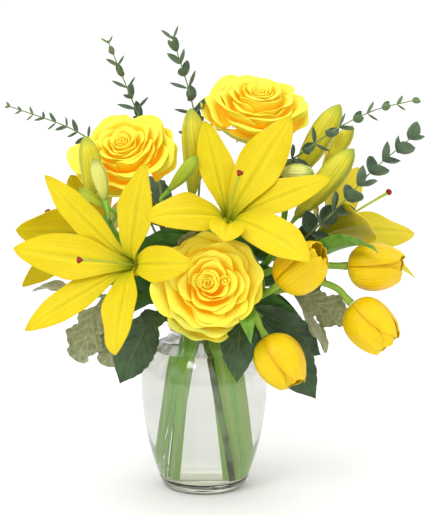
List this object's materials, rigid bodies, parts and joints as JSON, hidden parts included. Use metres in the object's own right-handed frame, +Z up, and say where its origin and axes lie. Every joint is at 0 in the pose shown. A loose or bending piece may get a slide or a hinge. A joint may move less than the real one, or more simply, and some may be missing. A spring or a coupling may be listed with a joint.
{
  "type": "flower arrangement in a glass vase",
  "caption": "Mixed bouquet of yellow lilies, roses and tulips with eucalyptus and silver foliage, standing in water in a clear glass vase.",
  "frame": {"origin": "centre of the vase's flat foot, on the surface that it stands on", "axes": "+Z up along the vase's axis, -Y towards the side that the front rose faces, +X to that side's right"},
  "size_m": [0.4181, 0.286, 0.4545],
  "materials": {
    "glass": "clear, glossy",
    "water": "clear, glossy",
    "rose_petal": "velvety matt, deeper gold in the folds",
    "lily_petal": "satin, green in the throat",
    "tulip_petal": "satin",
    "lily_bud": "satin, green at the tip and in the furrows",
    "pistil": "matt",
    "lily_stem": "satin",
    "rose_stem": "satin, partly red-brown",
    "tulip_leaf": "satin, fresh green",
    "eucalyptus_leaf": "matt, grey-green bloom",
    "silver_leaf": "felted, silvery green",
    "broad_leaf": "satin, dark green"
  },
  "bodies": {
    "root": {"broad_leaves_back_left": "broad_leaf", "broad_leaves_back_right": "broad_leaf", "broad_leaves_front": "broad_leaf", "broad_leaves_left": "broad_leaf", "eucalyptus_back": "eucalyptus_leaf", "eucalyptus_back_left": "eucalyptus_leaf", "eucalyptus_left": "eucalyptus_leaf", "eucalyptus_right": "eucalyptus_leaf", "eucalyptus_right_low": "eucalyptus_leaf", "lily_bud_centre_large": "lily_bud", "lily_bud_centre_small": "lily_bud", "lily_bud_left_large": "lily_bud", "lily_bud_left_pale": "lily_bud", "lily_bud_left_small": "lily_bud", "lily_bud_right_large": "lily_bud", "lily_bud_right_rear": "lily_bud", "lily_bud_right_short": "lily_bud", "lily_bud_right_upper": "lily_bud", "lily_centre_bloom": "lily_petal", "lily_centre_bloom_pistil": "pistil", "lily_centre_stem": "lily_stem", "lily_left_front": "lily_petal", "lily_left_front_pistil": "pistil", "lily_left_rear": "lily_petal", "lily_left_rear_pistil": "pistil", "lily_left_stem": "lily_stem", "lily_right_bloom": "lily_petal", "lily_right_bloom_pistil": "pistil", "lily_right_stem": "lily_stem", "rose_front_bloom": "rose_petal", "rose_front_stem": "rose_stem", "rose_left_bloom": "rose_petal", "rose_left_stem": "rose_stem", "rose_upper_bloom": "rose_petal", "rose_upper_stem": "rose_stem", "silver_leaf_centre": "silver_leaf", "silver_leaves_left": "silver_leaf", "silver_leaves_right": "silver_leaf", "tulip_front_bloom": "tulip_petal", "tulip_front_stem": "tulip_leaf", "tulip_inner_bloom": "tulip_petal", "tulip_inner_stem": "tulip_leaf", "tulip_low_right_bloom": "tulip_petal", "tulip_low_right_stem": "tulip_leaf", "tulip_right_bloom": "tulip_petal", "tulip_right_stem": "tulip_leaf", "vase": "glass", "water": "water"}
  },
  "joints": []
}
